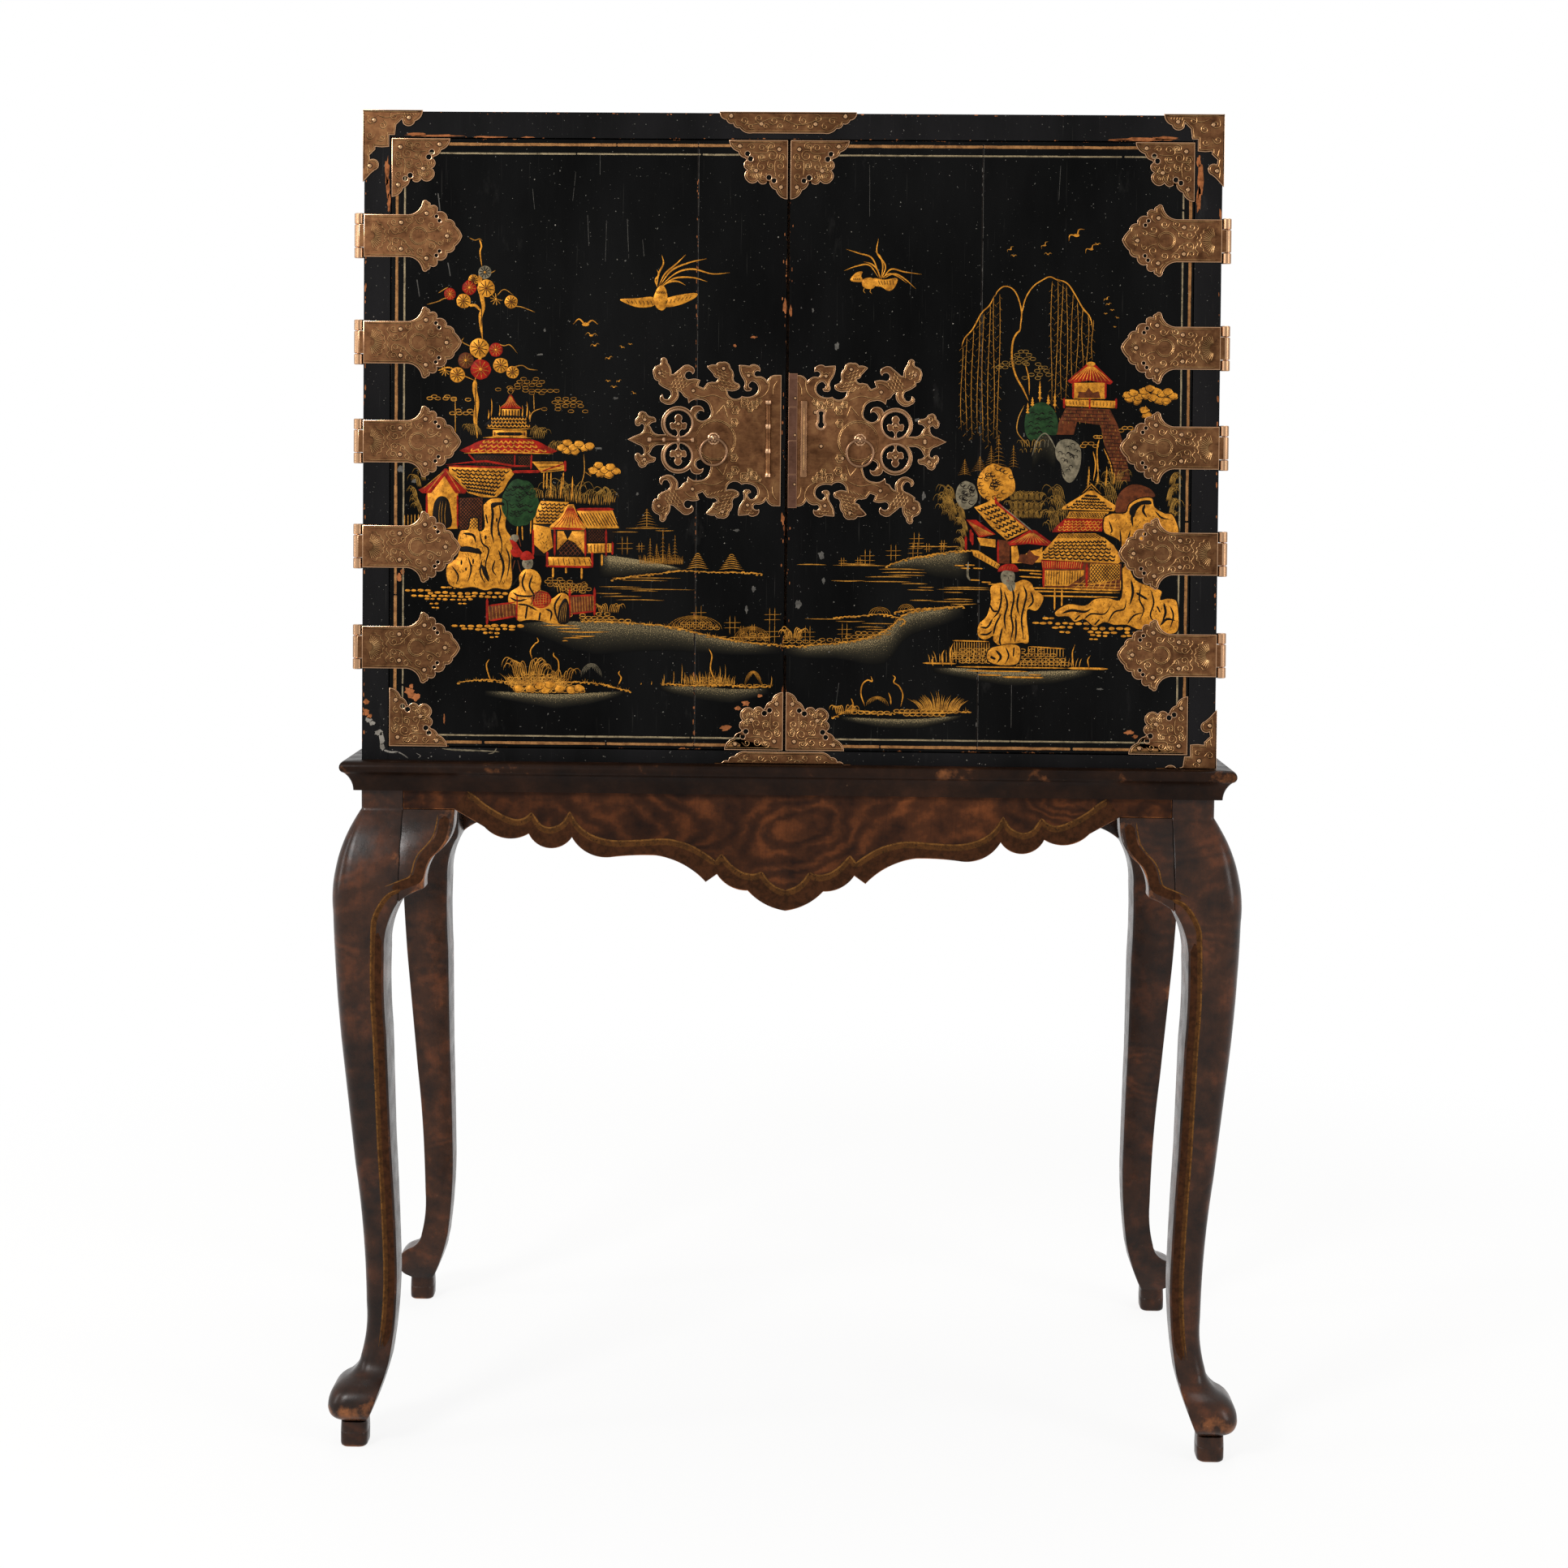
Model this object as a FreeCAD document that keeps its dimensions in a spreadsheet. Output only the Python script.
import FreeCAD, Part
import os
import re
import Sketcher

# Cabinet on stand: a lacquered case with two doors on five strap hinges each, on a stand with cabriole legs.
# Origin on the floor in the middle of the four feet, front towards -Y, up is +Z, millimetres.

os.makedirs("parts", exist_ok=True)
doc = FreeCAD.newDocument("cabinet_on_stand")
sheet = doc.addObject("Spreadsheet::Sheet", "Sizes")

sizes = [
    # case
    ("case_width", 992),
    ("case_depth", 500),
    ("case_height", 768.5),
    ("case_board", 20),
    ("back_board", 12),
    ("stile_width", 31),
    ("top_rail", 30),
    ("bottom_rail", 29.5),
    ("front_frame_depth", 34),
    # stand
    ("stand_height", 790),
    ("seat_gap", 0.5),
    ("apron_thickness", 22),
    ("band_height", 43),
    ("post_side", 49.5),
    ("knee_out", 30),
    ("knee_drop", 119),
    ("calf_out", 20.4),
    ("calf_drop", 274),
    ("shin_out", 5.5),
    ("shin_height", 326),
    ("ankle_out", -6.4),
    ("ankle_height", 158),
    ("ankle_thickness", 36),
    ("knee_thickness", 61),
    ("toe_out", 33),
    ("toe_height", 52),
    ("arris_depth", 7),
    ("bracket_reach", 60),
    ("bracket_drop", 92),
    ("bracket_thickness", 30),
    ("pad_height", 30),
    ("pad_radius", 16),
    ("molding_out", 22.5),
    ("molding_height", 35),
    ("molding_rim", 14.5),
    ("cusp_drop", 27.4),
    ("lobe_drop", 44.1),
    ("swag_drop", 53.8),
    ("tip_drop", 81.3),
    ("centre_drop", 113.8),
    # doors
    ("door_thickness", 22),
    ("door_gap", 1.2),
    ("meeting_shift", -3),
    ("meeting_gap", 3.2),
    ("left_joint", 356),
    ("right_joint", 244),
    # hinges
    ("metal", 1.5),
    ("knuckle_radius", 6),
    ("pin_radius", 2),
    ("pin_clearance", 0.05),
    ("knuckle_gap", 0.3),
    ("middle_knuckle", 26.4),
    ("end_knuckle", 12.5),
    ("strap_height", 49.2),
    ("strap_reach", 114.7),
    ("leaf_notch", 7.5),
    ("lowest_hinge", 115.3),
    ("highest_hinge", 112.8),
    ("second_hinge_shift", -2.1),
    ("third_hinge_shift", 0.8),
    ("fourth_hinge_shift", -3.9),
    # lock plates and pulls
    ("plate_rise", 6.5),
    ("plate_reach", 178),
    ("plate_inset", 5.2),
    ("edge_strip_width", 10.5),
    ("edge_strip_length", 156),
    ("bar_length", 88),
    ("bar_radius", 3.5),
    ("bar_setback", 14.8),
    ("ring_setback", 78),
    ("ring_radius", 15.4),
    ("ring_wire", 1.7),
    ("staple_radius", 4),
    ("staple_bore", 2.4),
    ("staple_reach", 4),
    ("keyhole_setback", 32.7),
    ("keyhole_rise", 18.5),
    # corner plates and mounts
    ("corner_side", 68),
    ("mount_arm", 69.5),
    ("mount_leg", 83.6),
    ("centre_mount_width", 158),
    ("centre_mount_height", 24.8),
    ("rim_clearance", 0.4),
    # lock and bolts
    ("lock_length", 66),
    ("lock_height", 90),
    ("lock_depth", 12),
    ("lock_fit", 0.3),
    ("bolt_length", 46),
    ("bolt_height", 14),
    ("bolt_thickness", 5),
    ("bolt_back", 3.5),
    ("bolt_travel", 9),
    ("slip_width", 8),
    ("slip_thickness", 6),
    ("slip_length", 96),
    ("slip_setback", 18),
    ("slip_travel", 12),
    ("slip_fit", 0.3),
    ("guide_wall", 2.5),
    ("guide_length", 12),
    # nest of drawers
    ("nest_board", 12),
    ("nest_fit", 0.5),
    ("shelf_thickness", 10),
    ("divider_thickness", 12),
    ("nest_setback", 12),
    ("drawer_fit", 1),
    ("drawer_seat", 0.3),
    ("drawer_length", 420),
    ("drawer_front", 14),
    ("drawer_side", 10),
    ("drawer_bottom", 8),
    ("knob_radius", 8),
    ("knob_length", 15),
]
for row, (alias, number) in enumerate(sizes, start=1):
    sheet.set("A%d" % row, alias)
    sheet.set("B%d" % row, str(number))
    sheet.setAlias("B%d" % row, alias)
doc.recompute()
aliases = set(alias for alias, number in sizes)


def size(alias):
    return float(getattr(sheet, alias))


def bound(text):
    """An expression of the sheet: each alias in the text gets the sheet's name before it."""
    return re.sub(r"[a-z_]+", lambda word: "Sizes." + word[0] if word[0] in aliases else word[0], text)


# Faces and heights that several pieces share, as expressions and as numbers.
half_width = "(case_width / 2)"
half_depth = "(case_depth / 2)"
stand_half_width = "(case_width / 2 + seat_gap)"
stand_half_depth = "(case_depth / 2 + seat_gap)"
case_top_z = "(stand_height + case_height)"
band_z = "(stand_height - band_height)"
inside_low = "(stand_height + case_board)"
inside_high = "(stand_height + case_height - case_board)"
opening_low = "(stand_height + bottom_rail)"
opening_high = "(stand_height + case_height - top_rail)"
door_back = "(door_thickness - case_depth / 2)"
door_low = "(stand_height + bottom_rail + door_gap)"
slip_x = "(meeting_shift - meeting_gap / 2 - slip_setback - slip_width)"
door_height = "(case_height - bottom_rail - top_rail - 2 * door_gap)"
plate_z = "(%s + %s / 2 + plate_rise)" % (door_low, door_height)

stand_x = size("case_width") / 2 + size("seat_gap")
stand_y = size("case_depth") / 2 + size("seat_gap")
front_y = -size("case_depth") / 2
case_x = size("case_width") / 2
top_z = size("stand_height") + size("case_height")
band_low = size("stand_height") - size("band_height")
knee_z = band_low - size("knee_drop")
calf_z = band_low - size("calf_drop")
rim_z = size("stand_height") + size("molding_rim")
left_edge = size("meeting_shift") - size("meeting_gap") / 2
right_edge = size("meeting_shift") + size("meeting_gap") / 2
door_bottom = size("stand_height") + size("bottom_rail") + size("door_gap")
door_top = top_z - size("top_rail") - size("door_gap")
plate_middle = (door_bottom + door_top) / 2 + size("plate_rise")
hinge_run = (door_top - size("highest_hinge") - door_bottom - size("lowest_hinge")) / 4
hinge_shifts = [0, size("second_hinge_shift"), size("third_hinge_shift"), size("fourth_hinge_shift"), 0]
hinge_heights = [door_bottom + size("lowest_hinge") + number * hinge_run + shift
                 for number, shift in enumerate(hinge_shifts)]
axis_x = case_x + size("knuckle_radius")
axis_y = front_y - size("metal") + size("knuckle_radius")


def at(point):
    return FreeCAD.Vector(point[0], point[1], 0)


def path(start, *steps):
    """Curves from start: a step is an end point, or the middle and end points of an arc."""
    curves = []
    here = start
    for step in steps:
        if isinstance(step[0], tuple):
            curves.append(Part.Arc(at(here), at(step[0]), at(step[1])))
            here = step[1]
        else:
            curves.append(Part.LineSegment(at(here), at(step)))
            here = step
    return curves


def moved(steps, change):
    """The same steps with every point changed."""
    result = []
    for step in steps:
        result.append(tuple(change(p) for p in step) if isinstance(step[0], tuple) else change(step))
    return result


def backwards(start, steps):
    """The steps of the same line followed from its end to its start."""
    ends = [start] + [step[1] if isinstance(step[0], tuple) else step for step in steps]
    result = []
    for index in range(len(steps) - 1, -1, -1):
        step = steps[index]
        result.append((step[0], ends[index]) if isinstance(step[0], tuple) else ends[index])
    return result


def sawn(steps):
    """The same line in short straight cuts: each arc becomes its two chords."""
    result = []
    for step in steps:
        result += list(step) if isinstance(step[0], tuple) else [step]
    return result


def joined(sketch, first, count):
    """Coincident constraints where one curve of a closed outline ends and the next begins."""
    ends = [[sketch.getPoint(first + index, end) for end in (1, 2)] for index in range(count)]
    constraints = []
    for index in range(count):
        after = (index + 1) % count
        pairs = [(a, b) for a in (0, 1) for b in (0, 1)]
        a, b = min(pairs, key=lambda pair: ends[index][pair[0]].distanceToPoint(ends[after][pair[1]]))
        constraints.append(Sketcher.Constraint("Coincident", first + index, a + 1, first + after, b + 1))
    return constraints


def pad(name, role, offset, thickness, outlines):
    """A body: outlines drawn on one of its origin planes at an offset, padded along that plane's normal.
    XZ_Plane looks towards -Y, YZ_Plane towards +X and XY_Plane towards +Z."""
    body = doc.addObject("PartDesign::Body", name)
    sketch = body.newObject("Sketcher::SketchObject", name + "_sketch")
    plane = [feature for feature in body.Origin.OriginFeatures if feature.Role == role][0]
    sketch.AttachmentSupport = [(plane, "")]
    sketch.MapMode = "FlatFace"
    sketch.setExpression("AttachmentOffset.Base.z", bound(offset))
    constraints = []
    for curves in outlines:
        first = sketch.GeometryCount
        sketch.addGeometry(curves, False)
        constraints += joined(sketch, first, len(curves))
    sketch.addConstraint(constraints)
    feature = body.newObject("PartDesign::Pad", name + "_pad")
    feature.Profile = sketch
    feature.setExpression("Length", bound(thickness))
    return body


def board(name, corner, lengths):
    """A rectangular board: its lowest corner (expressions, or numbers) and its three sides (expressions)."""
    box = doc.addObject("Part::Box", name)
    if isinstance(corner[0], str):
        for axis, text in zip("xyz", corner):
            box.setExpression("Placement.Base." + axis, bound(text))
    else:
        box.Placement.Base = FreeCAD.Vector(*corner)
    for side, text in zip(("Length", "Width", "Height"), lengths):
        box.setExpression(side, bound(text))
    return box


turns = {
    "x": FreeCAD.Rotation(FreeCAD.Vector(0, 1, 0), 90),
    "y": FreeCAD.Rotation(FreeCAD.Vector(1, 0, 0), -90),
    "z": FreeCAD.Rotation(),
}


def rod(name, base, radius, length, axis="z"):
    """A cylinder from its base point along +X, +Y or +Z."""
    cylinder = doc.addObject("Part::Cylinder", name)
    cylinder.Placement = FreeCAD.Placement(FreeCAD.Vector(*base), turns[axis])
    cylinder.setExpression("Radius", bound(radius))
    cylinder.setExpression("Height", bound(length))
    return cylinder


def fused(name, pieces):
    fusion = doc.addObject("Part::MultiFuse", name)
    fusion.Shapes = pieces
    return fusion


def cut(name, base, tool):
    result = doc.addObject("Part::Cut", name)
    result.Base = base
    result.Tool = tool
    return result


def common(name, base, tool):
    result = doc.addObject("Part::Common", name)
    result.Base = base
    result.Tool = tool
    return result


def group(name, pieces):
    """Separate solids that share one node."""
    compound = doc.addObject("Part::Compound", name)
    compound.Links = pieces
    return compound


nodes = {}


def keep(name, piece):
    piece.Label = name
    nodes[name] = piece


# Stand -------------------------------------------------------------------------------------------


def outer_line():
    """Outer line of a leg from the band down to its sole, as (distance outside the stand's face, height)."""
    knee = size("knee_out")
    calf = size("calf_out")
    shin = size("shin_out")
    ankle = size("ankle_out")
    ankle_z = size("ankle_height")
    toe = size("toe_out")
    toe_z = size("toe_height")
    return [
        ((0.71 * knee, band_low - 43), (knee, knee_z)),
        ((knee - 2.2, knee_z - 55), (calf, calf_z)),
        (shin, size("shin_height")),
        ((ankle + 3.6, (size("shin_height") + ankle_z) / 2), (ankle, ankle_z)),
        ((ankle + 0.8, ankle_z - 33), (ankle + 6, toe_z + 46)),
        ((ankle + 13, toe_z + 31), (toe - 14, toe_z + 23)),
        ((toe - 3, toe_z + 12), (toe, toe_z)),
        ((toe - 2.6, toe_z - 11), (toe - 9, toe_z - 17)),
        (toe - 19, size("pad_height")),
    ]


def inner_line():
    """Inner line of a leg from the sole up to the post, each point with its distance outside the stand's face."""
    knee = size("knee_out") - size("knee_thickness")
    ankle = size("ankle_out") - size("ankle_thickness")
    ankle_z = size("ankle_height")
    sole = size("pad_height")
    return [
        (ankle + 29.4, sole),
        ((ankle + 17.5, sole + 29), (ankle + 6.4, sole + 67)),
        ((ankle + 1.2, ankle_z - 18), (ankle - 1.4, ankle_z + 47)),
        ((ankle + 0.9, (ankle_z + size("shin_height")) / 2 + 35), (knee - 7, size("shin_height") + 30)),
        (knee - 3.4, calf_z + 14),
        ((knee - 1, knee_z - 90), (knee - 1.4, knee_z - 46)),
        ((knee - 6.5, knee_z - 8), (-size("post_side"), knee_z + 16)),
        (-size("post_side"), band_low),
    ]


def leg_profile(side):
    """The outline that a leg shows from the front or from the side, up to the band."""
    def place(point):
        return (side[0] * (side[1] + point[0]), point[1])
    return path(place((0, band_low)), *moved(outer_line() + inner_line() + [(0, band_low)], place))


def arris(name, x_side, y_side):
    """The leg seen along its diagonal: its outer line, set in to flatten the sharp front arris."""
    diagonal = 2 ** 0.5
    inset = size("arris_depth")

    def place(point):
        return (diagonal * point[0] - inset, point[1])
    behind = -diagonal * size("post_side") - 10
    sole = size("pad_height")
    outline = path((0, band_low), *moved(outer_line(), place), (behind, sole), (behind, band_low), (0, band_low))
    body = pad(name, "XZ_Plane", "-post_side - toe_out", "2 * (post_side + toe_out)", [outline])
    turn = FreeCAD.Vector(1, 0, 0), FreeCAD.Vector(x_side, y_side, 0)
    body.Placement = FreeCAD.Placement(FreeCAD.Vector(x_side * stand_x, y_side * stand_y, 0), FreeCAD.Rotation(*turn))
    return body


def across(side, name, outline, role, half, low, high):
    """Pad of an outline across one leg, between two distances from the stand's face."""
    if (role == "XZ_Plane") == (side < 0):
        offset = "(%s) - (%s)" % (half, low)
    else:
        offset = "-(%s) - (%s)" % (half, high)
    return pad(name, role, offset, "(%s) + (%s)" % (low, high), [outline])


def leg(name, x_side, y_side):
    """A leg sawn from the front and from the side, its arris taken off, with the square post above it."""
    front = across(y_side, name + "_front", leg_profile((x_side, stand_x)), "XZ_Plane",
                   stand_half_depth, "post_side + 5", "toe_out + 5")
    side = across(x_side, name + "_side", leg_profile((y_side, stand_y)), "YZ_Plane",
                  stand_half_width, "post_side + 5", "toe_out + 5")
    square = common(name + "_square", front, side)
    shaped = common(name + "_shaped", square, arris(name + "_arris", x_side, y_side))
    corner_x = "-" + stand_half_width if x_side < 0 else stand_half_width + " - post_side"
    corner_y = "-" + stand_half_depth if y_side < 0 else stand_half_depth + " - post_side"
    post = board(name + "_post", (corner_x, corner_y, band_z), ("post_side", "post_side", "band_height"))
    keep(name, fused(name, [shaped, post]))


def bracket_profile(side):
    """A knee bracket from the front: it drops from the band's edge in an S to a small pointed ear."""
    post = size("post_side")
    reach = size("bracket_reach")
    drop = size("bracket_drop")

    def place(out, down):
        return (side[0] * (side[1] - post - out), band_low - down)
    start = place(0, 0)
    return path(
        start,
        place(reach, 0),
        place(reach, 10),
        (place(reach - 3.5, 31), place(reach - 20, 50)),
        (place(reach - 28.5, 66), place(reach - 30.5, drop - 5)),
        place(reach - 32, drop - 4),
        (place(reach - 44, drop + 1), place(0, drop + 11.5)),
        start,
    )


def curved_slab(side):
    """Outline of the curved board that brackets are sawn from: the leg's outer line and its copy behind it."""
    def place(point, back):
        return (side[0] * (side[1] + point[0] - back), point[1])
    front = outer_line()[:2]
    thickness = size("bracket_thickness")
    down = moved(front, lambda point: place(point, 0))
    up = moved(backwards((0, band_low), front), lambda point: place(point, thickness))
    end = place(front[-1][1], thickness)
    return path(place((0, band_low), 0), *down, end, *up, place((0, band_low), 0))


def bracket(name, x_side, y_side, facing):
    face = ("post_side + bracket_reach + 5", "knee_out + 5")
    if facing == "front":
        shape = across(y_side, name + "_shape", bracket_profile((x_side, stand_x)), "XZ_Plane",
                       stand_half_depth, *face)
        slab = across(x_side, name + "_slab", curved_slab((y_side, stand_y)), "YZ_Plane",
                      stand_half_width, *face)
    else:
        shape = across(x_side, name + "_shape", bracket_profile((y_side, stand_y)), "YZ_Plane",
                       stand_half_width, *face)
        slab = across(y_side, name + "_slab", curved_slab((x_side, stand_x)), "XZ_Plane",
                      stand_half_depth, *face)
    return common(name, shape, slab)


def make_legs():
    brackets = []
    pads = []
    corners = {"front_left": (-1, -1), "front_right": (1, -1), "rear_left": (-1, 1), "rear_right": (1, 1)}
    for place, (x_side, y_side) in corners.items():
        leg("leg_" + place, x_side, y_side)
        for facing in ("front", "side"):
            brackets.append(bracket("bracket_%s_%s" % (place, facing), x_side, y_side, facing))
        centre = (x_side * (stand_x + 2.5), y_side * (stand_y + 2.5), 0)
        foot = rod("pad_" + place, centre, "pad_radius", "pad_height")
        pads.append(foot)
    keep("knee_brackets", group("brackets", brackets))
    keep("foot_pads", group("pads", pads))


def apron_outline(end, start, steps):
    """An apron from below its square end to the middle, mirrored, with its top at the stand's top."""
    top = size("stand_height")

    def mirror(point):
        return (-point[0], point[1])
    right = backwards(mirror(start), moved(steps, mirror))
    return path((-end, top), (-end, band_low), start, *steps, *right, (end, band_low), (end, top), (-end, top))


def make_aprons():
    cusp = band_low - size("cusp_drop")
    lobe = band_low - size("lobe_drop")
    swag = band_low - size("swag_drop")
    tip = band_low - size("tip_drop")
    middle = band_low - size("centre_drop")
    end = stand_x - size("post_side")
    run = end - size("bracket_reach")

    def front(along, height):
        """A point of the front apron; its pattern is laid out on a half length of 387."""
        return (along * run / 387 - run, height)
    steps = [
        front(35, band_low - 20),
        (front(66, cusp - 6), front(87, cusp)),
        (front(113.5, lobe), front(137.5, cusp - 3.6)),
        (front(155, swag + 5.5), front(182, swag)),
        (front(210, swag + 2.6), front(236, swag + 2.8)),
        (front(267, swag - 7), front(294, tip)),
        front(307, tip + 9.3),
        (front(321, tip - 4), front(343, tip - 9.5)),
        (front(358, tip - 22), (0, middle)),
    ]
    outline = apron_outline(end, (-run, band_low), steps)
    offset = stand_half_depth + " - apron_thickness"
    keep("front_apron", pad("front_apron", "XZ_Plane", offset, "apron_thickness", [outline]))
    side_end = stand_y - size("post_side")
    side_run = side_end - size("bracket_reach")

    def side(along, height):
        """A point of a side apron, laid out on a half length of 141."""
        return (along * side_run / 141 - side_run, height)
    steps = [
        side(35, band_low - 20),
        (side(66, cusp - 6), side(87, cusp)),
        (side(105, swag + 8), (0, swag - 4)),
    ]
    outline = apron_outline(side_end, (-side_run, band_low), steps)
    keep("left_apron", pad("left_apron", "YZ_Plane", "-" + stand_half_width, "apron_thickness", [outline]))
    offset = stand_half_width + " - apron_thickness"
    keep("right_apron", pad("right_apron", "YZ_Plane", offset, "apron_thickness", [outline]))
    corner = ("post_side - " + stand_half_width, stand_half_depth + " - apron_thickness", band_z)
    lengths = ("2 * (%s - post_side)" % stand_half_width, "apron_thickness", "band_height")
    keep("back_rail", board("back_rail", corner, lengths))


def molding_profile(face, side):
    """Section of the waist molding: a cove under a rounded nose, and a flat rim on top."""
    out = size("molding_out")
    low = rim_z - size("molding_height")

    def place(distance, height):
        return (side * (face + distance), height)
    start = place(0, low)
    return path(
        start,
        place(0, rim_z),
        place(out - 4.5, rim_z),
        (place(out, rim_z - 6.5), place(out - 2.3, rim_z - 12.5)),
        place(out - 5, rim_z - 14),
        (place(out - 11.5, rim_z - 23), place(out - 14.3, low)),
        start,
    )


def make_molding():
    out = size("molding_out")
    reach = "molding_out + 1"
    low = "stand_height + molding_rim - molding_height - 1"
    slab = "molding_height + 2"
    span = out + 1
    corner_x = stand_x + span
    corner_y = stand_y + span
    strips = []
    front = pad("molding_front_strip", "YZ_Plane", "-%s - %s" % (stand_half_width, reach),
                "2 * (%s + %s)" % (stand_half_width, reach), [molding_profile(stand_y, -1)])
    plan = path((-corner_x, -corner_y), (corner_x, -corner_y), (stand_x, -stand_y), (-stand_x, -stand_y),
                (-corner_x, -corner_y))
    strips.append(common("molding_front", front, pad("molding_front_plan", "XY_Plane", low, slab, [plan])))
    for name, side in (("left", -1), ("right", 1)):
        strip = pad("molding_%s_strip" % name, "XZ_Plane", "-" + stand_half_depth,
                    "2 * %s + %s" % (stand_half_depth, reach), [molding_profile(stand_x, side)])
        plan = path((side * corner_x, -corner_y), (side * corner_x, stand_y), (side * stand_x, stand_y),
                    (side * stand_x, -stand_y), (side * corner_x, -corner_y))
        mitre = pad("molding_%s_plan" % name, "XY_Plane", low, slab, [plan])
        strips.append(common("molding_" + name, strip, mitre))
    keep("waist_molding", group("moldings", strips))


# Case --------------------------------------------------------------------------------------------


def make_case():
    behind_frame = "(front_frame_depth - case_depth / 2)"
    depth = "case_depth - front_frame_depth"
    inner_height = "case_height - 2 * case_board"
    for name, low in (("case_bottom", "stand_height"), ("case_top", inside_high)):
        keep(name, board(name, ("-" + half_width, behind_frame, low), ("case_width", depth, "case_board")))
    for name, left in (("case_left_side", "-" + half_width), ("case_right_side", half_width + " - case_board")):
        keep(name, board(name, (left, behind_frame, inside_low), ("case_board", depth, inner_height)))
    corner = ("case_board - " + half_width, half_depth + " - back_board", inside_low)
    keep("case_back", board("case_back", corner, ("case_width - 2 * case_board", "back_board", inner_height)))
    stiles = []
    for name, left in (("left_stile", "-" + half_width), ("right_stile", half_width + " - stile_width")):
        corner = (left, "-" + half_depth, "stand_height")
        stiles.append(board(name, corner, ("stile_width", "front_frame_depth", "case_height")))
    keep("frame_stiles", group("stiles", stiles))
    rails = []
    for name, low, height in (("upper_rail", opening_high, "top_rail"), ("lower_rail", "stand_height", "bottom_rail")):
        corner = ("stile_width - " + half_width, "-" + half_depth, low)
        plain = board(name + "_plain", corner, ("case_width - 2 * stile_width", "front_frame_depth", height))
        # socket for the slip bolt
        hole_low = opening_low + " - slip_travel - 2" if name == "lower_rail" else opening_high + " - 1"
        hole = board(name + "_socket", (slip_x + " - slip_fit", door_back, hole_low),
                     ("slip_width + 2 * slip_fit", "slip_thickness + 3 * slip_fit", "slip_travel + 3"))
        rails.append(cut(name, plain, hole))
    keep("frame_rails", group("rails", rails))


# Doors -------------------------------------------------------------------------------------------


def make_doors():
    hinge_edge = "(%s - stile_width - door_gap)" % half_width
    low_corner = ("-" + hinge_edge, "-" + half_depth, door_low)
    outer = board("left_outer_board", low_corner, ("left_joint", "door_thickness", door_height))
    rest = "%s + meeting_shift - meeting_gap / 2 - left_joint" % hinge_edge
    corner = ("left_joint - " + hinge_edge, "-" + half_depth, door_low)
    inner = board("left_inner_plain", corner, (rest, "door_thickness", door_height))
    mortise_corner = (
        "meeting_shift - meeting_gap / 2 - bolt_travel - 2",
        "%s - bolt_back - bolt_thickness - 2 * lock_fit" % door_back,
        plate_z + " + keyhole_rise + 8 - bolt_height / 2 - 2 * lock_fit",
    )
    mortise = board("strike_mortise", mortise_corner,
                    ("bolt_travel + 3", "bolt_thickness + 4 * lock_fit", "bolt_height + 4 * lock_fit"))
    keep("door_left", group("left_door_boards", [outer, cut("left_inner_board", inner, mortise)]))
    corner = ("meeting_shift + meeting_gap / 2", "-" + half_depth, door_low)
    width = "%s - meeting_shift - meeting_gap / 2 - right_joint" % hinge_edge
    inner = board("right_inner_plain", corner, (width, "door_thickness", door_height))
    recess_corner = (
        "meeting_shift + meeting_gap / 2 - 1",
        "%s - lock_depth" % door_back,
        plate_z + " + keyhole_rise + 8 - lock_height / 2",
    )
    recess = board("lock_recess", recess_corner, ("lock_length + 1 + lock_fit", "lock_depth + 1", "lock_height"))
    corner = ("%s - right_joint" % hinge_edge, "-" + half_depth, door_low)
    outer = board("right_outer_board", corner, ("right_joint", "door_thickness", door_height))
    keep("door_right", group("right_door_boards", [cut("right_inner_board", inner, recess), outer]))


def strap_outline(stretch):
    """Outline of a strap from one corner of its root round its tip to the other, on a grid 114.7 long."""
    half = size("strap_height") / 2
    scale = stretch / 114.7

    def grid(point):
        return (point[0] * scale, point[1] * half / 24.6)
    steps = [
        (52, 24.6),
        ((62, 28.6), (68, 38.6)),
        (71, 41),
        (74.8, 39.8),
        (77.6, 34.8),
        (83.6, 35),
        (86.6, 31.6),
        (86.4, 27.8),
        (94, 26.6),
        (97.6, 19.6),
        (104.2, 17.4),
        (106.6, 11.8),
        (111.8, 6.6),
        (114.7, 0),
    ]
    steps = moved(steps, grid)

    def mirror(point):
        return (point[0], -point[1])
    first = grid((0, 24.6))
    down = backwards(mirror(first), moved(steps, mirror))
    return first, steps + down


def make_straps(name, side):
    """Five door straps: plate on the door, web round the case's corner and the middle knuckle."""
    straps = []
    half_knuckle = size("middle_knuckle") / 2
    for number, height in enumerate(hinge_heights, start=1):
        label = "%s_%d" % (name, number)

        def place(point):
            return (side * (case_x - point[0]), height + point[1])
        first, steps = strap_outline(size("strap_reach"))
        outline = path(place(first), *moved(steps + [first], place))
        plate = pad(label + "_plate", "XZ_Plane", half_depth, "metal", [outline])
        web_x = -axis_x if side < 0 else case_x
        web = board(label + "_web", (web_x, front_y - size("metal"), height - half_knuckle),
                    ("knuckle_radius", "metal", "middle_knuckle"))
        base = (side * axis_x, axis_y, height - half_knuckle)
        barrel = rod(label + "_barrel", base, "knuckle_radius", "middle_knuckle")
        solid = fused(label + "_solid", [plate, web, barrel])
        bore = rod(label + "_bore", base, "pin_radius + pin_clearance", "middle_knuckle")
        straps.append(cut(label, solid, bore))
    keep(name, group(name + "_group", straps))


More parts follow.
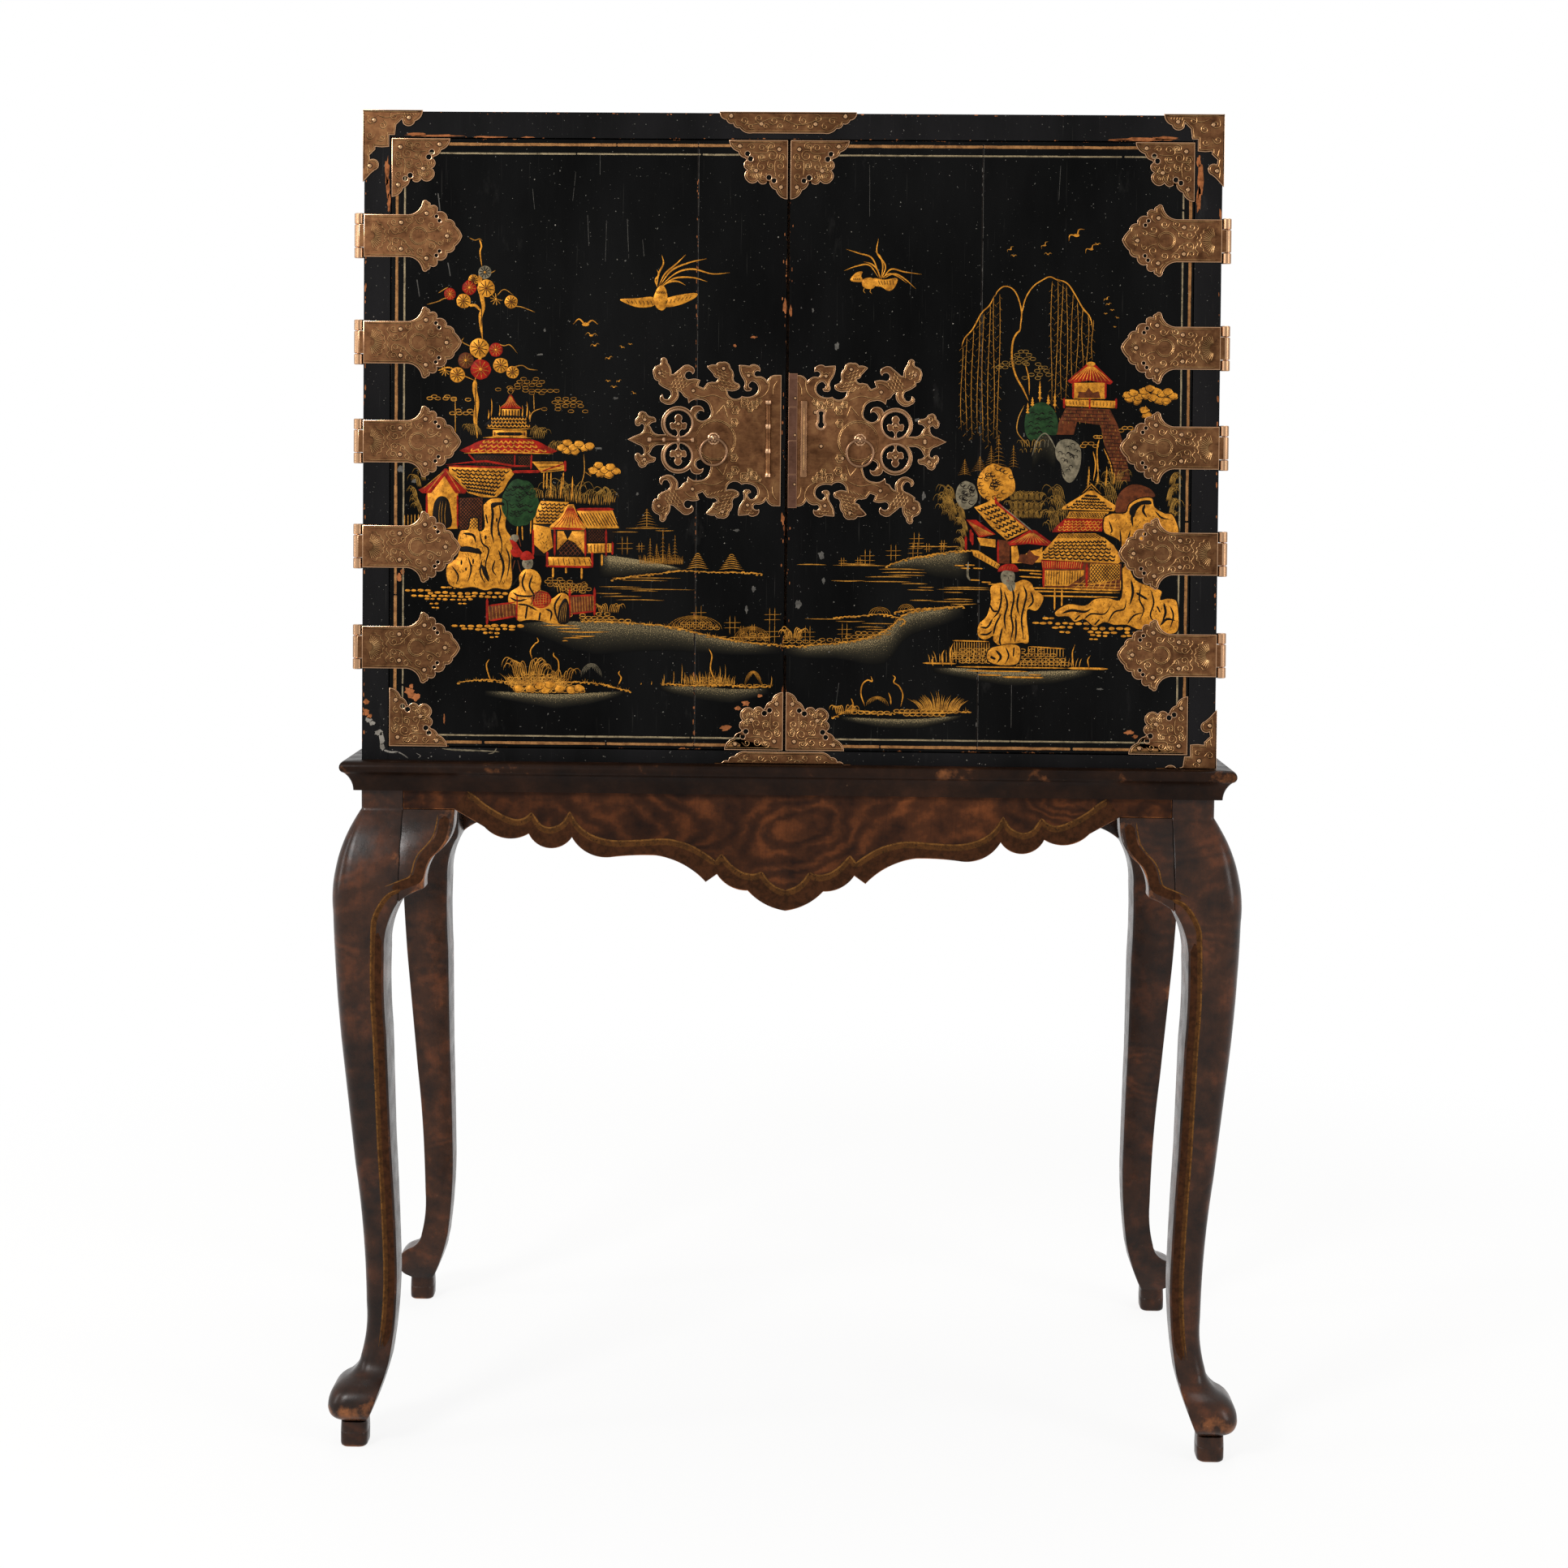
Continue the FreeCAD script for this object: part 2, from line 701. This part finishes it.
def make_leaves(name, side):
    """Five leaves on the case's side, each with the two end knuckles that its pin is riveted in."""
    leaves = []
    half_knuckle = size("middle_knuckle") / 2 + size("knuckle_gap")
    notch = size("leaf_notch")
    for number, height in enumerate(hinge_heights, start=1):
        label = "%s_%d" % (name, number)

        def place(point):
            return (axis_y + point[0], height + point[1])
        first, steps = strap_outline(size("strap_reach"))
        root = [(0, -half_knuckle), (notch, -half_knuckle), (notch, half_knuckle), (0, half_knuckle), first]
        outline = path(place(first), *moved(steps + root, place))
        offset = "-%s - metal" % half_width if side < 0 else half_width
        pieces = [pad(label + "_plate", "YZ_Plane", offset, "metal", [outline])]
        for end, low in (("low", -half_knuckle - size("end_knuckle")), ("high", half_knuckle)):
            base = (side * axis_x, axis_y, height + low)
            pieces.append(rod("%s_%s_barrel" % (label, end), base, "knuckle_radius", "end_knuckle"))
        leaves.append(fused(label, pieces))
    keep(name, group(name + "_group", leaves))


def make_pins():
    """The pins between the leaves' end knuckles, through the straps' knuckles."""
    pins = []
    half = size("middle_knuckle") / 2 + size("knuckle_gap")
    for side in (-1, 1):
        for number, height in enumerate(hinge_heights, start=1):
            base = (side * axis_x, axis_y, height - half)
            label = "pin_%s_%d" % ("left" if side < 0 else "right", number)
            pins.append(rod(label, base, "pin_radius", "middle_knuckle + 2 * knuckle_gap"))
    keep("hinge_pins", group("pins", pins))


# Lock plates, pulls and mounts -------------------------------------------------------------------


def plate_steps():
    """Upper half of a lock plate from its straight edge to its outer tip, on a grid 178 long.
    Two bird-headed scrolls stand on its upper edge and a third reaches out above the pierced ring."""
    near_bird = [
        (8, 76),
        ((13.3, 73.6), (16.5, 68.5)),
        ((20.5, 73), (28.5, 74)),
        ((31, 76), (30, 79.5)),
        ((27.5, 80.5), (24.7, 79.5)),
        ((25, 84.5), (29, 87.5)),
        ((33, 88.3), (37, 86.3)),
        ((43, 87), (49, 87.3)),
        ((48.5, 79.5), (44.8, 71.5)),
        ((42.6, 66.5), (43.3, 62)),
        ((42.3, 58), (38, 57)),
        ((35, 58), (34.3, 60.8)),
        ((37.8, 63), (36.3, 66.3)),
        ((34.2, 68.3), (31.3, 67.5)),
    ]
    middle_bird = [
        ((26.8, 61), (30.5, 53)),
        ((37, 50.5), (45.5, 51.3)),
        ((54.5, 48), (61.5, 53)),
        (62.8, 57.8),
        ((56, 56.8), (50.5, 58.5)),
        ((47.8, 62), (51, 66.3)),
        ((54.6, 68.5), (55.5, 72)),
        ((55.8, 79), (59, 83.5)),
        ((62, 89.5), (69, 90.5)),
        ((73.5, 90), (76, 87.3)),
        ((81.5, 87.3), (86.5, 84.8)),
        ((82.8, 80.5), (79, 76.5)),
        ((77.5, 73.3), (73.5, 71.8)),
        ((75.5, 67.8), (80, 67.6)),
    ]
    arm = [
        (85.8, 66.3),
        (90.4, 60.3),
        (96.3, 62.7),
        (93.8, 69.3),
        ((100, 71), (106, 70.2)),
        ((111.2, 72.3), (111, 77)),
        ((106.5, 79.3), (103, 75.8)),
        ((100.6, 81), (104.5, 85.5)),
        ((110.5, 87), (115.5, 84)),
        ((120.5, 80), (124.5, 76.3)),
        (127.5, 75.8),
    ]
    far_bird = [
        ((128.3, 83), (132, 89)),
        ((133, 93), (136, 95.5)),
        ((139, 94.5), (140.3, 91)),
        ((140.2, 88.5), (142.5, 86.5)),
        ((148.6, 81), (148.3, 74)),
        ((146.5, 69.5), (142.3, 67.8)),
        (142.3, 64.6),
        ((137, 60.8), (131.5, 58.2)),
        ((128, 53.5), (129.6, 49.3)),
        ((133, 46.6), (136.8, 49.5)),
        (137.6, 52.6),
        ((140.9, 47.5), (136.8, 42.6)),
        ((129, 40.6), (122.6, 44.3)),
        ((119, 50), (119.9, 56.8)),
    ]
    inner_scroll = [
        ((116, 54.5), (113.6, 51)),
        ((111, 49), (108.6, 48.3)),
        (107.3, 42.2),
        ((101, 46.6), (94.2, 46.6)),
        ((85.5, 42.8), (82.3, 35.6)),
        ((82, 28.5), (87.6, 23.4)),
        ((91.5, 22.2), (95.3, 23.3)),
        ((98.6, 27.5), (96.6, 32)),
        ((93.4, 34), (89.6, 32.3)),
        ((91.4, 38), (97, 39.8)),
        ((102.3, 38.3), (105, 33.3)),
    ]
    round_ring = ((131.9, 34.3), (134.2, 6))
    tip = [
        (142, 6),
        ((148, 9), (150.5, 13)),
        ((151.5, 15), (153, 16.3)),
        (150.5, 19),
        ((148, 19.9), (145.3, 20.3)),
        ((145.6, 24.6), (150, 26.5)),
        ((154, 28), (156.5, 31.3)),
        (161, 33),
        ((164.5, 31), (166, 26.5)),
        ((169, 23), (169.3, 18)),
        ((165.5, 15.4), (162.5, 18)),
        ((159.8, 17.6), (158.8, 14.5)),
        ((160.6, 9), (166, 5.8)),
        (178, 0),
    ]
    return sawn(near_bird + middle_bird + arm + far_bird + inner_scroll) + [round_ring] + sawn(tip)


def fleur_opening(centre):
    """The pierced circle round a small fleur that stands on the bar."""
    fleur = [
        ((-2, -8.5), (-4.5, -6.5)),
        ((-8.3, -6.5), (-9.3, -3)),
        ((-9, 0.8), (-5.5, 0.5)),
        ((-3.6, 2), (-4.6, 5)),
        ((-4, 8), (0, 11)),
    ]

    def mirror(point):
        return (-point[0], point[1])
    foot = (-2.2, -14.84)
    steps = [((15, 0), (0, 15)), ((-15, 0), foot)] + sawn(fleur)
    steps += sawn(backwards(mirror(foot), moved(fleur, mirror)))
    start = mirror(foot)

    def place(point):
        return (centre[0] + point[0], centre[1] + point[1])
    return place(start), moved(steps, place)


def lock_plate(name, side):
    scale = size("plate_reach") / 178
    edge = left_edge - size("plate_inset") if side < 0 else right_edge + size("plate_inset")

    def place(point):
        return (edge + side * point[0] * scale, plate_middle + point[1] * scale)

    def mirror(point):
        return (point[0], -point[1])
    # the right plate runs on under its edge strip
    edge_corner = (0, 76)
    start = edge_corner if side < 0 else (-size("plate_inset") / scale, 76)
    upper = plate_steps()
    lower = backwards(mirror(edge_corner), moved(upper, mirror))
    steps = upper + lower
    if side > 0:
        steps = [edge_corner] + steps + [mirror(start)]
    outlines = [path(place(start), *moved(steps + [start], place))]
    for turn in (1, -1):
        first, steps = fleur_opening((119, 19))
        upright = moved([first] + steps, lambda point: place((point[0], turn * point[1])))
        outlines.append(path(*upright))
    if side > 0:
        centre = (size("keyhole_setback") / scale, size("keyhole_rise") / scale)
        hole = [(2.1, 2.92), (2.1, 11.5), (3, 14), ((0, 16), (-3, 14)), (-2.1, 11.5), (-2.1, 2.92),
                ((0, -3.6), (2.1, 2.92))]
        outlines.append(path(*moved(hole, lambda point: place((centre[0] + point[0], centre[1] + point[1])))))
    keep(name, pad(name, "XZ_Plane", half_depth, "metal", outlines))


def turned(name, profile, base, rotation):
    """A turned piece: its profile (radius, distance along the axis) revolved, local Y is its axis."""
    body = doc.addObject("PartDesign::Body", name)
    sketch = body.newObject("Sketcher::SketchObject", name + "_sketch")
    plane = [feature for feature in body.Origin.OriginFeatures if feature.Role == "XY_Plane"][0]
    sketch.AttachmentSupport = [(plane, "")]
    sketch.MapMode = "FlatFace"
    sketch.addGeometry(profile, False)
    feature = body.newObject("PartDesign::Revolution", name + "_revolution")
    feature.Profile = sketch
    feature.ReferenceAxis = (sketch, ["V_Axis"])
    feature.Angle = 360
    body.Placement = FreeCAD.Placement(FreeCAD.Vector(*base), rotation)
    return body


def bamboo_bar(name, centre, length, radius, upright):
    """A half-sunk bar turned like three joints of bamboo, flat on the plate behind it."""
    half = length / 2
    steps = [(radius + 0.6, -half), (radius + 0.6, 3 - half)]
    for joint in (1, 2):
        ring = joint * length / 3 - half
        steps += [(radius - 0.4, ring - 2), (radius + 0.5, ring), (radius - 0.4, ring + 2)]
    steps += [(radius + 0.6, half - 3), (radius + 0.6, half), (0, half), (0, -half)]
    axis = FreeCAD.Vector(1, 0, 0) if upright else FreeCAD.Vector(0, 0, 1)
    whole = turned(name + "_whole", path((0, -half), *steps), centre, FreeCAD.Rotation(axis, 90))
    plate_front = front_y - size("metal")
    behind = board(name + "_behind", (centre[0] - length, plate_front, centre[2] - length),
                   ("2 * %s" % length, "knuckle_radius", "2 * %s" % length))
    return cut(name, whole, behind)


def ring_staple(name, x):
    """The eye that carries a ring pull: a round post with a cross bore."""
    reach = size("staple_reach")
    front = front_y - size("metal") - reach
    z = plate_middle + size("ring_wire")
    post = rod(name + "_post", (x, front - size("staple_radius"), z), "staple_radius",
               "staple_reach + staple_radius", "y")
    bore = rod(name + "_bore", (x - 2 * size("staple_radius"), front, z), "staple_bore", "4 * staple_radius", "x")
    return cut(name, post, bore)


def ring_pull(name, x):
    """A hanging ring, its wire filed to six flats."""
    z = plate_middle + size("ring_wire") - size("ring_radius")
    wire = size("ring_wire")
    slope = wire * 3 ** 0.5 / 2
    corners = [(wire, 0), (wire / 2, slope), (-wire / 2, slope), (-wire, 0),
               (-wire / 2, -slope), (wire / 2, -slope), (wire, 0)]
    section = [(size("ring_radius") + out, along) for out, along in corners]
    centre = (x, front_y - size("metal") - size("staple_reach"), z)
    keep(name, turned(name + "_wire", path(section[0], *section[1:]), centre, turns["z"]))


def make_plates():
    plate_front = front_y - size("metal")
    z = plate_middle
    ring_left = left_edge - size("plate_inset") - size("ring_setback")
    ring_right = right_edge + size("plate_inset") + size("ring_setback")
    for name, side in (("lock_plate_left", -1), ("lock_plate_right", 1)):
        lock_plate(name, side)
    sunk = size("bar_radius") - 1
    bar_x = left_edge - size("plate_inset") - size("bar_setback")
    radius = size("bar_radius")
    upright = bamboo_bar("upright_bar", (bar_x, plate_front - sunk, z + 2), size("bar_length"), radius, True)
    level_x = left_edge - size("plate_inset") - 0.714 * size("plate_reach")
    level = bamboo_bar("level_bar", (level_x, plate_front - sunk + 1, z), 0.6 * size("bar_length"), radius - 0.8,
                       False)
    keep("plate_fittings_left", group("left_fittings", [upright, level, ring_staple("left_staple", ring_left)]))
    strip = board("edge_strip", ("meeting_shift + meeting_gap / 2", "-%s - 2 * metal" % half_depth,
                                 plate_z + " - edge_strip_length / 2"),
                  ("edge_strip_width", "metal", "edge_strip_length"))
    flat_corner = ("meeting_shift + meeting_gap / 2 + plate_inset + bar_setback - bar_radius - 3",
                   "-%s - metal - bar_radius" % half_depth, plate_z + " + 2 - bar_length / 2")
    flat = board("flat_bar", flat_corner, ("2 * bar_radius + 2", "bar_radius", "bar_length"))
    keep("plate_fittings_right", group("right_fittings", [strip, flat, ring_staple("right_staple", ring_right)]))
    ring_pull("ring_pull_left", ring_left)
    ring_pull("ring_pull_right", ring_right)


def corner_outline(place):
    """A square corner plate whose long side is scalloped, on a grid 68 long, the same about its diagonal."""
    scale = size("corner_side") / 68
    half = [
        ((65, 8.5), (57.5, 13.5)),
        ((54.5, 18.5), (49.5, 21)),
        (47.5, 23),
        ((51, 29), (47, 34.5)),
        ((50, 41), (47, 47)),
    ]

    def swap(point):
        return (point[1], point[0])
    steps = [(68, 0)] + sawn(half + backwards((0, 68), moved(half, swap))) + [(0, 0)]
    return path(place((0, 0)), *moved(steps, lambda point: place((point[0] * scale, point[1] * scale))))


def make_door_corners():
    door_x = case_x - size("stile_width") - size("door_gap")
    low = size("stand_height") + size("bottom_rail") + size("door_gap")
    high = top_z - size("top_rail") - size("door_gap")
    doors = {"left": ((-door_x, 1), (left_edge, -1)), "right": ((right_edge, 1), (door_x, -1))}
    for door, edges in doors.items():
        plates = []
        for x, inward in edges:
            for z, up in ((low, 1), (high, -1)):
                def place(point):
                    return (x + inward * point[0], z + up * point[1])
                label = "%s_corner_%d" % (door, len(plates) + 1)
                plates.append(pad(label, "XZ_Plane", half_depth, "metal", [corner_outline(place)]))
        keep("door_corners_" + door, group("%s_door_corners" % door, plates))


def mount_outline(place):
    """The L on the case's corner: one arm along the rail and a longer leg down the stile, both scalloped."""
    arm = size("mount_arm")
    leg_end = size("mount_leg")
    stile = size("stile_width") - size("rim_clearance")
    rail = min(size("top_rail"), size("bottom_rail")) - size("rim_clearance")
    return path(
        place((0, 0)),
        place((arm, 0)),
        (place((arm - 2.1, 8)), place((arm - 8.8, 13))),
        (place((arm - 13.9, 18.5)), place((arm - 23.1, 15.5))),
        place((arm - 24, 10.5)),
        place((arm - 30.7, 17.2)),
        (place((arm - 31.5, 23)), place((arm - 32.3, rail))),
        place((stile, rail)),
        place((stile, rail + 13.7)),
        place((22, rail + 14.4)),
        place((14.5, rail + 13.7)),
        place((14.5, rail + 17)),
        place((7.7, leg_end - 31.1)),
        place((8.6, leg_end - 26)),
        (place((17.8, leg_end - 23.6)), place((13.6, leg_end - 13.4))),
        place((8.6, leg_end - 9.2)),
        (place((5, leg_end - 5)), place((0, leg_end))),
        place((0, 0)),
    )


def corner_mount(name, side, up):
    """L on the front, with a scalloped return on the side, and on the top for an upper corner."""
    metal = size("metal")
    x = side * (case_x + metal)
    z = top_z + metal if up < 0 else size("stand_height")
    pieces = [pad(name + "_front", "XZ_Plane", half_depth, "metal",
                  [mount_outline(lambda point: (x - side * point[0], z + up * point[1]))])]
    offset = "-%s - metal" % half_width if side < 0 else half_width
    pieces.append(pad(name + "_side", "YZ_Plane", offset, "metal",
                      [corner_outline(lambda point: (front_y - metal + point[0], z + up * point[1]))]))
    if up < 0:
        pieces.append(pad(name + "_top", "XY_Plane", case_top_z, "metal",
                          [corner_outline(lambda point: (x - side * point[0], front_y - metal + point[1]))]))
    return fused(name, pieces)


def centre_outline(place, width, height):
    """A long mount with scalloped ends."""
    half = width / 2
    steps = [
        ((half - 2.5, 7.5), (half - 7.5, 9.5)),
        ((half - 10.5, 13.5), (half - 15.5, 13.8)),
        ((half - 18, 18), (half - 23, 19)),
        ((half - 28, 23.4), (half - 38, height)),
    ]

    def mirror(point):
        return (-point[0], point[1])
    left = backwards(mirror((half, 0)), moved(steps, mirror))
    return path(place((half, 0)), *moved(steps + [(38 - half, height)] + left + [(half, 0)], place))


def make_case_mounts():
    metal = size("metal")
    below_rim = board("below_rim", ("-" + half_width + " - 10", "-%s - 10" % half_depth, "stand_height - 1"),
                      ("case_width + 20", "case_depth", "molding_rim + rim_clearance + 1"))
    low = cut("lower_right_mount", corner_mount("lower_right_whole", 1, 1), below_rim)
    upper = [corner_mount("upper_left_mount", -1, -1), corner_mount("upper_right_mount", 1, -1)]
    keep("case_corner_mounts", group("corner_mounts", upper + [low]))
    width = size("centre_mount_width")
    height = size("centre_mount_height")
    x = size("meeting_shift") - metal
    front = pad("upper_centre_front", "XZ_Plane", half_depth, "metal",
                [centre_outline(lambda point: (x + point[0], top_z + metal - point[1]), width, height)])
    flange = pad("upper_centre_top", "XY_Plane", case_top_z, "metal",
                 [centre_outline(lambda point: (x + point[0], front_y - metal + point[1]), width, height)])
    base = size("stand_height") + size("bottom_rail") - size("rim_clearance") - height
    lower = pad("lower_centre_whole", "XZ_Plane", half_depth, "metal",
                [centre_outline(lambda point: (x + point[0], base + point[1]), width, height)])
    pieces = [fused("upper_centre_mount", [front, flange]), cut("lower_centre_mount", lower, below_rim)]
    keep("case_centre_mounts", group("centre_mounts", pieces))


# Lock and slip bolts -----------------------------------------------------------------------------


def make_lock():
    """The lock is let into the back of the right door and throws its bolt into the left door's edge."""
    middle = "(%s + keyhole_rise + 8)" % plate_z
    edge = "(meeting_shift + meeting_gap / 2)"
    body = board("lock_body", (edge, door_back + " - lock_depth", middle + " - lock_height / 2 + lock_fit"),
                 ("lock_length", "lock_depth + metal", "lock_height - 2 * lock_fit"))
    way = board("bolt_way", (edge + " - 1", door_back + " - bolt_back - bolt_thickness - lock_fit",
                             middle + " - bolt_height / 2 - lock_fit"),
                ("bolt_length + 4", "bolt_thickness + 2 * lock_fit", "bolt_height + 2 * lock_fit"))
    keep("lock_case", cut("lock_case", body, way))
    keep("lock_bolt", board("lock_bolt", (edge + " + 1", door_back + " - bolt_back - bolt_thickness",
                                          middle + " - bolt_height / 2"),
                            ("bolt_length", "bolt_thickness", "bolt_height")))


def make_slip_bolts():
    """Two bolts on the back of the left door, one into each rail, each in two guides."""
    door_high = "(%s + %s)" % (door_low, door_height)
    guides = []
    for place, up, end in (("top", 1, door_high + " - 2"), ("bottom", -1, door_low + " + 2")):
        base = end + " - slip_length" if up > 0 else end
        bar = board("slip_bar_" + place, (slip_x, door_back + " + slip_fit", base),
                    ("slip_width", "slip_thickness", "slip_length"))
        grip = rod("slip_grip_" + place, (0, 0, 0), "slip_width / 2 - metal / 3", "slip_thickness", "y")
        grip.setExpression("Placement.Base.x", bound(slip_x + " + slip_width / 2"))
        grip.setExpression("Placement.Base.y", bound(door_back + " + slip_fit + slip_thickness"))
        grip.setExpression("Placement.Base.z", bound("%s %s slip_length * 0.46" % (end, "-" if up > 0 else "+")))
        keep("slip_bolt_" + place, fused("slip_bolt_" + place, [bar, grip]))
        for number, share in ((1, "0.08"), (2, "0.68")):
            away = "slip_length * " + share
            low = "%s - %s - guide_length" % (end, away) if up > 0 else "%s + %s" % (end, away)
            block = board("guide_block_%s_%d" % (place, number),
                          (slip_x + " - slip_fit - guide_wall", door_back, low),
                          ("slip_width + 2 * slip_fit + 2 * guide_wall",
                           "slip_thickness + 2 * slip_fit + guide_wall", "guide_length"))
            channel = board("guide_channel_%s_%d" % (place, number),
                            (slip_x + " - slip_fit", door_back + " - 1", low + " - 1"),
                            ("slip_width + 2 * slip_fit", "slip_thickness + 2 * slip_fit + 1", "guide_length + 2"))
            guides.append(cut("guide_%s_%d" % (place, number), block, channel))
    keep("slip_bolt_guides", group("guides", guides))


# Nest of drawers ---------------------------------------------------------------------------------


nest_front = "(front_frame_depth + nest_setback - case_depth / 2)"
nest_depth = "(case_depth - front_frame_depth - nest_setback - back_board)"
nest_x = "(case_width / 2 - case_board - nest_fit)"
nest_inner_x = "(case_width / 2 - case_board - nest_fit - nest_board)"
nest_low = "(stand_height + case_board + nest_board)"
row_height = "((case_height - 2 * case_board - 2 * nest_board - 3 * shelf_thickness) / 4)"


def make_nest():
    width = "2 * " + nest_x
    boards = []
    for name, low in (("nest_floor", inside_low), ("nest_ceiling", inside_high + " - nest_board")):
        boards.append(board(name, ("-" + nest_x, nest_front, low), (width, nest_depth, "nest_board")))
    for name, left in (("nest_left", "-" + nest_x), ("nest_right", nest_inner_x)):
        corner = (left, nest_front, nest_low)
        boards.append(board(name, corner, ("nest_board", nest_depth, "case_height - 2 * case_board - 2 * nest_board")))
    keep("nest_boards", group("nest", boards))
    corner = ("meeting_shift - divider_thickness / 2", nest_front, nest_low)
    lengths = ("divider_thickness", nest_depth, "case_height - 2 * case_board - 2 * nest_board")
    keep("nest_divider", board("nest_divider", corner, lengths))
    shelves = []
    columns = {
        "left": ("-" + nest_inner_x, "meeting_shift - divider_thickness / 2 + " + nest_inner_x),
        "right": ("meeting_shift + divider_thickness / 2", nest_inner_x + " - meeting_shift - divider_thickness / 2"),
    }
    for column, (left, width) in columns.items():
        for row in (1, 2, 3, 4):
            low = "%s + %d * (%s + shelf_thickness)" % (nest_low, row - 1, row_height)
            if row < 4:
                corner = (left, nest_front, "%s + %s" % (low, row_height))
                shelves.append(board("shelf_%s_%d" % (column, row), corner, (width, nest_depth, "shelf_thickness")))
            drawer("%s_%d" % (column, row), left + " + drawer_fit", low + " + drawer_seat",
                   width + " - 2 * drawer_fit")
    keep("nest_shelves", group("shelves", shelves))


def drawer(place, left, low, width):
    height = row_height + " - 2 * drawer_fit"
    lower = height + " - drawer_side"
    front = board("front_" + place, (left, nest_front, low), (width, "drawer_front", height))
    side_y = nest_front + " + drawer_front"
    run = "drawer_length - drawer_front"
    left_side = board("left_side_" + place, (left, side_y, low), ("drawer_side", run, lower))
    right_side = board("right_side_" + place, ("%s + %s - drawer_side" % (left, width), side_y, low),
                       ("drawer_side", run, lower))
    between = ("%s - 2 * drawer_side" % width)
    back = board("back_" + place, (left + " + drawer_side", side_y + " + " + run + " - drawer_side", low),
                 (between, "drawer_side", lower))
    floor = board("floor_" + place, (left + " + drawer_side", side_y, low),
                  (between, run + " - drawer_side", "drawer_bottom"))
    radius = size("knob_radius")
    length = size("knob_length")
    profile = path((0, 0), (0.6 * radius, 0), (0.45 * radius, -0.4 * length), (radius, -0.7 * length),
                   (0.6 * radius, -length), (0, -length), (0, 0))
    knob = turned("knob_" + place, profile, (0, 0, 0), turns["z"])
    knob.setExpression("Placement.Base.x", bound("%s + (%s) / 2" % (left, width)))
    knob.setExpression("Placement.Base.y", bound(nest_front))
    knob.setExpression("Placement.Base.z", bound("%s + (%s) / 2" % (low, height)))
    keep("drawer_" + place, group("drawer_group_" + place, [front, left_side, right_side, back, floor, knob]))


make_legs()
make_aprons()
make_molding()
make_case()
make_doors()
for door, side in (("left", -1), ("right", 1)):
    make_straps("straps_" + door, side)
    make_leaves("side_leaves_" + door, side)
make_pins()
make_plates()
make_door_corners()
make_case_mounts()
make_lock()
make_slip_bolts()
make_nest()
doc.recompute()

failed = [item.Label for item in doc.Objects if "Invalid" in item.State or "Error" in item.State]
if failed:
    raise RuntimeError("failed objects: " + ", ".join(failed))
for name, piece in nodes.items():
    shape = piece.Shape
    if shape.isNull() or not shape.isValid() or not shape.Solids or shape.Volume <= 0:
        raise RuntimeError("bad shape: " + name)
for name, piece in nodes.items():
    piece.Shape.exportStep("parts/%s.step" % name)
print("%d nodes, %d solids" % (len(nodes), sum(len(piece.Shape.Solids) for piece in nodes.values())))
